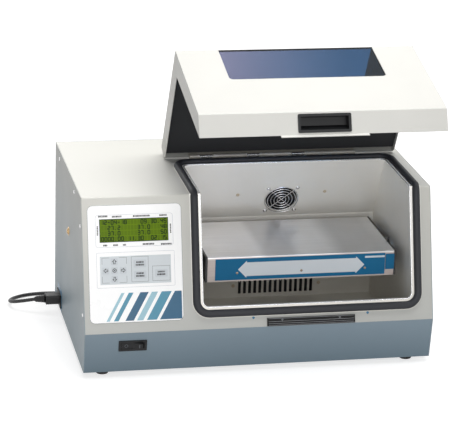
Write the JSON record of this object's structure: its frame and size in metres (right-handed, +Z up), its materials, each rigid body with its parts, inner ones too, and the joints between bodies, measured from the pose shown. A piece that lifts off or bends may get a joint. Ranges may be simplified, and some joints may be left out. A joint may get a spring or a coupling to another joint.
{
  "type": "benchtop incubator",
  "caption": "Benchtop incubator with a control panel on the left, a sprung hinged lid with a tinted window over a steel chamber, a turning platform and a fan inside.",
  "frame": {"origin": "on the bench, under the middle of the incubator as it stands with its lid open", "axes": "+X to the right along the width, +Y to the back, +Z up"},
  "size_m": [0.7806, 0.6152, 0.5875],
  "materials": {
    "case_paint": "satin",
    "cover_paint": "satin",
    "stainless": "satin",
    "galvanised": "satin",
    "bright_steel": "gloss",
    "black_metal": "satin",
    "blue_plate": "satin",
    "aluminium": "satin",
    "brass": "satin",
    "black_rubber": "matte",
    "black_foam": "matte",
    "insulation_foam": "matte",
    "black_plastic": "matte",
    "cord_jacket": "satin",
    "tinted_acrylic": "gloss",
    "clear_window": "gloss",
    "white_film": "satin",
    "key_grey": "satin",
    "circuit_board": "satin",
    "white_ceramic": "matte"
  },
  "bodies": {
    "cabinet": {"base_tray": "case_paint", "top_front_cover": "cover_paint", "left_side_panel": "case_paint", "right_side_panel": "case_paint", "rear_panel": "case_paint", "case_screws": "bright_steel", "rubber_feet": "black_rubber", "partition_wall": "galvanised", "chamber_liner": "stainless", "insulation_jacket": "insulation_foam", "opening_gasket": "black_rubber", "fan_frames": "black_plastic", "fan_guards": "bright_steel", "air_duct": "stainless", "inner_heat_sink": "aluminium", "thermoelectric_modules": "white_ceramic", "outer_heat_sink": "aluminium", "shaft_bearings": "stainless", "drive_brackets": "galvanised", "drive_belt": "black_rubber", "drive_motor": "galvanised", "control_panel": "white_film", "display_window": "clear_window", "display_module": "circuit_board", "control_board": "circuit_board", "switch_bezel": "black_plastic", "power_supply": "aluminium", "power_inlet": "black_plastic", "cord_connector": "cord_jacket", "cord_lead": "cord_jacket", "cord_coil": "cord_jacket", "mains_plug": "cord_jacket", "probe_jack": "brass", "latch_strip": "black_plastic", "hinge_leaf_fixed": "cover_paint", "hinge_pin": "bright_steel", "hinge_springs": "bright_steel"},
    "lid": {"lid_shell": "cover_paint", "lid_foam": "black_foam", "lid_window": "tinted_acrylic", "lid_handle": "black_plastic", "hinge_leaf_lid": "cover_paint"},
    "platform_rotor": {"platform_shafts": "bright_steel", "drive_pulley": "aluminium"},
    "platform": {"platform_tray": "stainless", "platform_plate": "blue_plate", "platform_plate_screws": "bright_steel", "platform_end_plates": "black_metal"},
    "motor_rotor": {"motor_pulley": "aluminium"},
    "circulation_fan": {"circulation_fan_impeller": "black_plastic"},
    "exhaust_fan": {"exhaust_fan_impeller": "black_plastic"},
    "rocker": {"switch_rocker": "black_plastic"},
    "center_key": {"key_center": "key_grey"},
    "up_key": {"key_up": "key_grey"},
    "down_key": {"key_down": "key_grey"},
    "left_key": {"key_left": "key_grey"},
    "right_key": {"key_right": "key_grey"},
    "timer_key": {"key_timer": "key_grey"},
    "speed_key": {"key_speed": "key_grey"},
    "run_key": {"key_run": "key_grey"}
  },
  "joints": [
    {"name": "lid_hinge", "type": "hinge", "parent": "cabinet", "child": "lid", "pos_m": [0, 0.10367, 0.3463], "axis": [1, 0, 0], "range_deg": [0, 61]},
    {"name": "platform_turn", "type": "hinge", "parent": "cabinet", "child": "platform_rotor", "pos_m": [0, -0.00513, 0.184], "axis": [1, 0, 0], "continuous": true},
    {"name": "platform_shift", "type": "slide", "parent": "platform_rotor", "child": "platform", "axis": [1, 0, 0], "range_m": [-0.008, 0]},
    {"name": "motor_spin", "type": "hinge", "parent": "cabinet", "child": "motor_rotor", "pos_m": [0, -0.00513, 0.082], "axis": [1, 0, 0], "continuous": true},
    {"name": "circulation_fan_spin", "type": "hinge", "parent": "cabinet", "child": "circulation_fan", "pos_m": [0.099, 0.10512, 0.25167], "axis": [0, -0.9039, -0.4278], "continuous": true},
    {"name": "exhaust_fan_spin", "type": "hinge", "parent": "cabinet", "child": "exhaust_fan", "pos_m": [0.099, 0.24, 0.117], "axis": [0, 1, 0], "continuous": true},
    {"name": "rocker_tilt", "type": "hinge", "parent": "cabinet", "child": "rocker", "pos_m": [-0.2475, -0.18254, 0.06747], "axis": [0, -0.1507, 0.9886], "range_deg": [0, 16]},
    {"name": "key_center_press", "type": "slide", "parent": "cabinet", "child": "center_key", "axis": [0, 0.9624, -0.2716], "range_m": [0, 0.0005], "stiffness_N_per_m": 1500},
    {"name": "key_up_press", "type": "slide", "parent": "cabinet", "child": "up_key", "axis": [0, 0.9624, -0.2716], "range_m": [0, 0.0005], "stiffness_N_per_m": 1500},
    {"name": "key_down_press", "type": "slide", "parent": "cabinet", "child": "down_key", "axis": [0, 0.9624, -0.2716], "range_m": [0, 0.0005], "stiffness_N_per_m": 1500},
    {"name": "key_left_press", "type": "slide", "parent": "cabinet", "child": "left_key", "axis": [0, 0.9624, -0.2716], "range_m": [0, 0.0005], "stiffness_N_per_m": 1500},
    {"name": "key_right_press", "type": "slide", "parent": "cabinet", "child": "right_key", "axis": [0, 0.9624, -0.2716], "range_m": [0, 0.0005], "stiffness_N_per_m": 1500},
    {"name": "key_timer_press", "type": "slide", "parent": "cabinet", "child": "timer_key", "axis": [0, 0.9624, -0.2716], "range_m": [0, 0.0005], "stiffness_N_per_m": 1500},
    {"name": "key_speed_press", "type": "slide", "parent": "cabinet", "child": "speed_key", "axis": [0, 0.9624, -0.2716], "range_m": [0, 0.0005], "stiffness_N_per_m": 1500},
    {"name": "key_run_press", "type": "slide", "parent": "cabinet", "child": "run_key", "axis": [0, 0.9624, -0.2716], "range_m": [0, 0.0005], "stiffness_N_per_m": 1500}
  ],
  "couplings": [
    {"joint": "motor_spin", "follows": "platform_turn", "ratio": 2.5}
  ]
}
